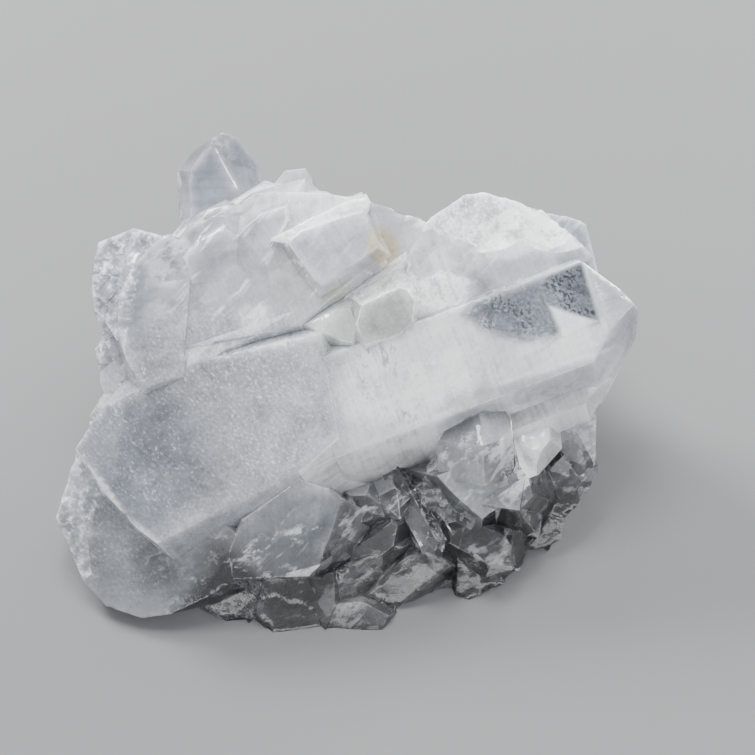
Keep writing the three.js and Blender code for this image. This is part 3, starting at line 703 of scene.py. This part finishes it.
def quartz_material():
    g = Graph("quartz")
    place = g.node("ShaderNodeTexCoord").outputs["Object"]
    rise = REST_HEIGHT * MM
    slope = g.node(
        "ShaderNodeMapping", in_Vector=place, in_Rotation=(LEAN - math.pi / 2, 0, 0),
        in_Location=(0, -math.cos(LEAN) * rise, -math.sin(LEAN) * rise),
    ).outputs[0]
    growth = g.attribute("growth", "Vector")
    tone = g.minus(g.component(growth, "Z"), 0.5)  # of the face
    layers = (*STROKES, "edge", "crease_shade", "thin", "clouds", "patches", "mosaic")
    paint = {name: g.attribute(name) for name in layers}
    part = g.times(g.minus(paint["mosaic"], 0.5), g.lerp(paint["facets"], 0.15, 0.5))  # of the flat part
    window, wedge = clear_window(g, slope)

    # How milky it is. The milk is cloudy, and differs a little from face to face and from part to part.
    milky = g.times(paint["milk"], g.lerp(paint["clouds"], 0.75, 1.0))
    for more in (g.times(paint["clouds"], 0.12), part, g.times(tone, 0.15)):
        milky = g.plus(milky, more)
    milky = g.times(milky, g.lerp(paint["smoke"], 1.0, 0.5), clamp=True)
    milky = g.times(milky, g.lerp(window, 1.0, 0.25))
    clarity = g.between(milky, 0.6, 0.15)

    # The patterns: grain, a skin of growth marks, striations across each crystal, shards and wisps inside.
    speckle = g.noise(g.drawn_out(slope, -48, 1.3), 0.6, 1, 0.7)
    skin = g.noise(g.drawn_out(slope, 40, 1.6), 5.0, 4, 0.8)
    striae = g.noise(g.scaled(growth, (1, 0.05, 0)), 1.3, 2, 0.6)
    shard = g.shards(g.drawn_out(place, 60, 2.0), 6.5)
    wisps = g.noise(g.drawn_out(place, 35, 2.0), 3.5, 4, 0.75)
    wisps = g.plus(wisps, g.times(g.minus(shard, 0.5), 0.2))
    chips = g.times(g.minus(g.noise(place, 1.8, 2), 0.5), 1.1)

    # Dark marks: specks in the clearest quartz, cracks, and painted shade along the hollow seams between
    # crystals.
    specks = g.most(g.times(window, g.lerp(paint["patches"], 0.5, 1.0)), paint["specks"])
    specks = g.times(g.between(speckle, 0.485, 0.455), specks)
    cracks = g.times(g.lines(g.drawn_out(slope, 108, 4), 1.6, 0.03), paint["cracks"])
    painted_crease_shade = g.between(g.plus(paint["crease_shade"], chips), 0.35, 0.95)
    dark = g.most(specks, g.times(cracks, 0.5), g.times(painted_crease_shade, 0.25))

    # White marks: flecks, partly painted glints; streaks; flaws; worn edges, which also carry painted
    # highlights; and painted glints on what is broken.
    flecks = g.times(paint["flecks"], g.lerp(paint["patches"], 0.3, 1.0))
    flecks = g.times(g.times(g.between(speckle, 0.59, 0.72), flecks), 0.4)
    streaks = g.between(g.noise(g.drawn_out(slope, 48, 5), 2.2, 2, 0.6), 0.55, 0.66)
    streaks = g.times(streaks, paint["streaks"])
    flaws = g.times(g.between(wisps, 0.44, 0.58), paint["flaws"])
    # Worn edges drawn white: wear, and painted highlights.
    edges = g.between(g.plus(paint["edge"], chips), 0.2, 0.9)
    broken = g.between(g.plus(paint["frost"], chips), 0.3, 0.7)
    # Painted glints: white specks on what is broken.
    painted_glints = g.times(g.between(speckle, 0.56, 0.64), broken)
    white = g.most(flecks, streaks, flaws, edges, wedge, painted_glints)
    veils = g.times(g.times(g.between(wisps, 0.5, 0.66), clarity), g.lerp(paint["smoke"], 1.0, 0.3))

    colour = g.mix(milky, THIN_MILK, MILK)
    for where, strength, tint in (
        # greyer quartz, and painted shade on faces turned away from the light
        (paint["grey"], 1.0, GREY),
        # painted shade of the lower crystals
        (paint["smoke"], 0.75, LOWER_SHADE_GREY),
        (veils, 0.5, PALE),
        (window, 0.9, WINDOW),
        # painted light and nearly white quartz: highlights, glints and a lit lower face
        (paint["white_and_lit"], 0.8, BRIGHT),
        (broken, 0.25, PALE),
        (paint["green"], 0.6, GREEN),
        (paint["stain"], 0.8, RUST),
        # painted light where light comes through thin edges
        (paint["thin"], 0.22, WHITE),
        # white marks, partly painted highlights and glints
        (white, 0.6, WHITE),
        # dark marks: specks and cracks, and painted shade in the seams
        (dark, 0.95, DARK),
    ):
        colour = g.mix(g.times(where, strength), colour, tint)
    shade = g.times(g.plus(tone, part), 0.12)
    for pattern, amount in (
        (shard, g.lerp(clarity, 0.08, 0.3)),
        (speckle, g.plus(g.lerp(paint["flecks"], 0.35, 0.9), g.times(broken, 0.4))),
        (striae, g.lerp(paint["white_and_lit"], 0.4, 0.9)),
        (skin, g.plus(g.lerp(broken, 0.6, 0.9), g.times(paint["white_and_lit"], 0.6))),
    ):
        shade = g.plus(shade, g.times(g.minus(pattern, 0.5), amount))
    shaded = g.node("ShaderNodeVectorMath", operation="SCALE", in_0=colour, in_Scale=g.plus(shade, 1.0))

    # How much light passes: less through milk, and less again through white and dark marks.
    hazy = g.most(g.times(paint["white_and_lit"], 0.6), broken, white, veils)
    clear = g.minus(0.97, g.times(milky, 0.65))
    clear = g.minus(clear, g.times(hazy, g.lerp(paint["smoke"], 0.5, 0.2)))
    clear = g.minus(clear, g.times(dark, 0.9), clamp=True)
    rough = g.plus(g.lerp(milky, 0.05, 0.20), g.times(broken, 0.16))
    rough = g.plus(rough, g.times(white, 0.15), clamp=True)

    # Heights in metres.
    height = g.times(speckle, g.lerp(paint["frost"], 1.6e-5, 1.4e-4))
    for pattern, amount in ((striae, 3.0e-5), (skin, 7.0e-5)):
        height = g.plus(height, g.times(pattern, amount))
    bump = g.node("ShaderNodeBump", in_Strength=1.0, in_Distance=1.0, in_Height=height)

    quartz = g.node(
        "ShaderNodeBsdfPrincipled", in_Base_Color=shaded.outputs[0], in_Roughness=rough, in_IOR=IOR,
        in_Transmission_Weight=clear, in_Normal=bump.outputs[0], in_Subsurface_Weight=1.0,
        in_Subsurface_Radius=(1.0, 1.0, 1.0), in_Subsurface_Scale=0.005, in_Coat_Weight=0.2,
        in_Coat_Roughness=0.1, in_Coat_IOR=IOR,
    )
    depth = g.node("ShaderNodeVolumeAbsorption", in_Color=DEEP, in_Density=6.0)
    out = g.node("ShaderNodeOutputMaterial")
    g.tree.links.new(quartz.outputs[0], out.inputs["Surface"])
    g.tree.links.new(depth.outputs[0], out.inputs["Volume"])
    return g.material


# ---------------------------------------------------------------- floor, lights and camera

FLOOR = (0.19, 0.19, 0.193, 1)
DOME = (0.86, 0.89, 0.92, 1)
DOME_STRENGTH = 1.1
CLUSTER_MIDDLE = Vector((0, 0, 0.03))
LENS = 135  # mm
SENSOR = 36  # mm
CAMERA_AWAY = 626  # mm from the slope frame's origin, straight out from the broad face


def floor():
    mesh = bpy.data.meshes.new("floor")
    half = 2  # metres
    corners = [(-half, -half, 0), (half, -half, 0), (half, half, 0), (-half, half, 0)]
    mesh.from_pydata(corners, [], [(0, 1, 2, 3)])
    obj = bpy.data.objects.new("floor", mesh)
    bpy.context.scene.collection.objects.link(obj)
    g = Graph("floor")
    pale = g.node("ShaderNodeBsdfPrincipled", in_Base_Color=FLOOR, in_Roughness=0.9)
    out = g.node("ShaderNodeOutputMaterial")
    g.tree.links.new(pale.outputs[0], out.inputs["Surface"])
    mesh.materials.append(g.material)


def softbox(name, place, size, watts):
    """A rectangular lamp at that place in metres, aimed at the middle of the cluster."""
    light = bpy.data.lights.new(name, "AREA")
    light.shape = "RECTANGLE"
    light.size, light.size_y = size
    light.energy = watts
    obj = bpy.data.objects.new(name, light)
    obj.location = place
    obj.rotation_euler = (CLUSTER_MIDDLE - Vector(place)).to_track_quat("-Z", "Y").to_euler()
    bpy.context.scene.collection.objects.link(obj)


def lights():
    """A soft even dome, three softboxes, and a low strip in front that the lower crystals catch as glints."""
    world = bpy.data.worlds.new("studio")
    world.use_nodes = True
    dome = world.node_tree.nodes["Background"]
    dome.inputs["Color"].default_value = DOME
    dome.inputs["Strength"].default_value = DOME_STRENGTH
    bpy.context.scene.world = world
    softbox("key", (-0.42, 0.40, 0.46), (0.22, 0.22), 9)
    softbox("top", (-0.10, 0.18, 0.70), (0.26, 0.26), 5)
    softbox("rim", (0.50, 0.35, 0.22), (0.4, 0.12), 6)
    softbox("strip", (0.15, -0.60, 0.12), (0.7, 0.10), 0.8)


def camera():
    data = bpy.data.cameras.new("camera")
    data.lens = LENS
    data.sensor_width = SENSOR
    data.clip_start = 0.01
    obj = bpy.data.objects.new("camera", data)
    target = Vector((0, 0, REST_HEIGHT * MM))
    obj.location = target + CAMERA_AWAY * MM * OUT
    obj.rotation_euler = (target - obj.location).to_track_quat("-Z", "Y").to_euler()
    bpy.context.scene.collection.objects.link(obj)
    bpy.context.scene.camera = obj


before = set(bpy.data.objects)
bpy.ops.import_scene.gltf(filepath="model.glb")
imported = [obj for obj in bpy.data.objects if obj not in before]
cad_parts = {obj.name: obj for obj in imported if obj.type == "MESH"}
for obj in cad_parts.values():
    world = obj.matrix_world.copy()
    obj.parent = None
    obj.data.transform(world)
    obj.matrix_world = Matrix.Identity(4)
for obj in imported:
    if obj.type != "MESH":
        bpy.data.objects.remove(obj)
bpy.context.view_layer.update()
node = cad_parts["quartz_cluster"]
piece = crystal_piece(node)
piece.data.materials.append(quartz_material())
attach(piece, "root")
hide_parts("quartz_cluster")
floor()
lights()
camera()
